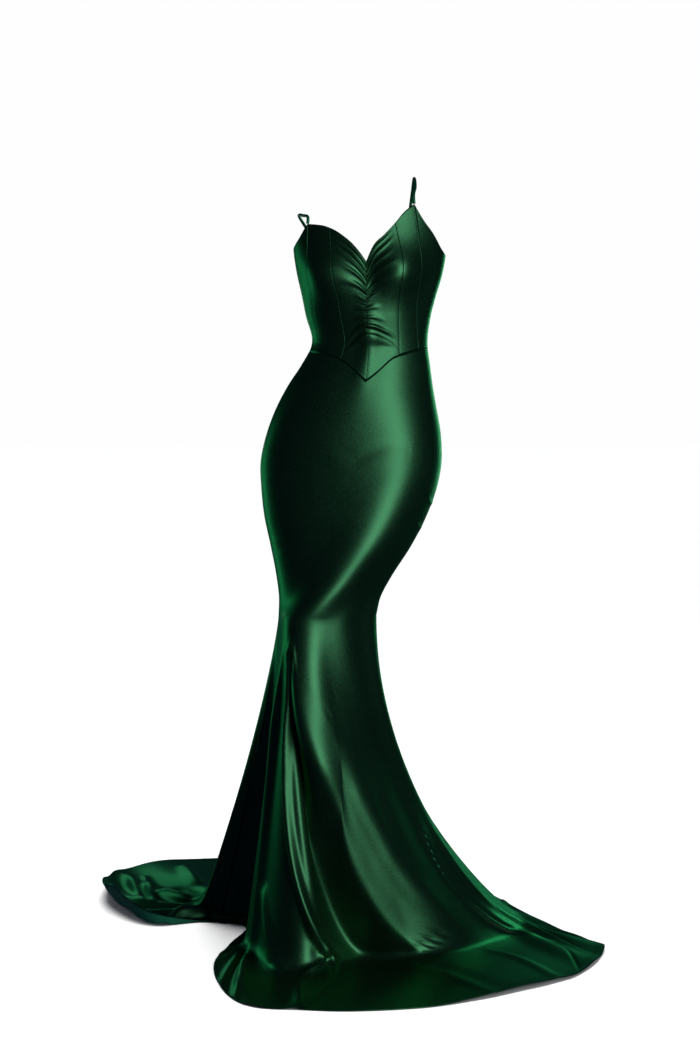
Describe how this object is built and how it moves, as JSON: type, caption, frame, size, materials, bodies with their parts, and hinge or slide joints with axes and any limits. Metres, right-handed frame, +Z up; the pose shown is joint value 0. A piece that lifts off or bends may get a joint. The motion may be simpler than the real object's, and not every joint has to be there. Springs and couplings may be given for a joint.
{
  "type": "evening gown",
  "caption": "Floor-length trumpet evening gown in satin: gathered sweetheart bodice on thin straps, pointed waist seam, flared skirt with a train, standing open as worn.",
  "frame": {"origin": "midway between the tops of the two shoulder straps, where the wearer's shoulders carry the gown", "axes": "+X to the wearer's left, -Y to the front, +Z up; the floor is at z = -1.53"},
  "size_m": [1.0822, 1.4403, 1.5696],
  "materials": {
    "satin": "heavy dark emerald satin with a strong sheen",
    "strap_satin": "the same satin as narrow turned tubes",
    "zip_metal": "dark green lacquered metal of the concealed zip"
  },
  "bodies": {
    "gown": {"bodice_front_left": "satin", "bodice_front_right": "satin", "bodice_side_front_left": "satin", "bodice_side_front_right": "satin", "bodice_side_left": "satin", "bodice_side_right": "satin", "bodice_back_left": "satin", "bodice_back_right": "satin", "skirt_front": "satin", "skirt_back_left": "satin", "skirt_back_right": "satin", "strap_left": "strap_satin", "strap_right": "strap_satin", "zip_slider": "zip_metal"},
    "zip_pull": {"zip_pull": "zip_metal"}
  },
  "joints": [
    {"name": "zip_pull_swing", "type": "hinge", "parent": "gown", "child": "zip_pull", "pos_m": [0.02666, 0.10645, -0.15818], "axis": [1, 0, 0], "range_deg": [-12, 165]}
  ]
}
